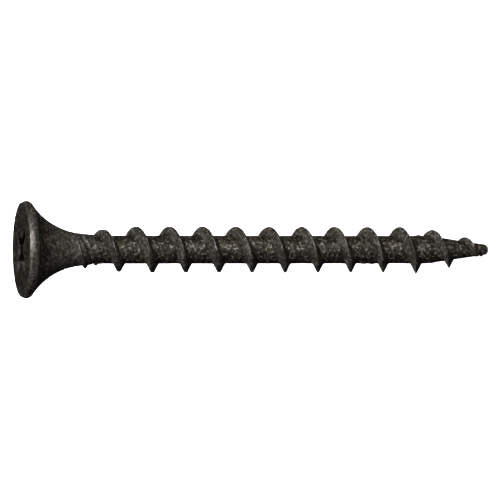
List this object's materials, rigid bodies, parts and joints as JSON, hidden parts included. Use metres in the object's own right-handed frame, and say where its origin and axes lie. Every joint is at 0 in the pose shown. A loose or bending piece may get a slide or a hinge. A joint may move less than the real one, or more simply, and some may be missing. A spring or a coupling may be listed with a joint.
{
  "type": "wood screw",
  "caption": "Slim coarse-thread steel screw with a trumpet-shaped flush head and a cross recess; it pulls a board or sheet tight against wood.",
  "frame": {"origin": "centre of the head's flat face, on the screw's axis; once driven, the board's surface lies in the plane z = 0", "axes": "+Z along the axis, out of the head; the point is on -Z; the recess wings lie along X and Y"},
  "size_m": [0.0082, 0.0082, 0.041],
  "materials": {
    "phosphated_steel": "satin"
  },
  "bodies": {
    "root": {"screw": "phosphated_steel"}
  },
  "joints": []
}
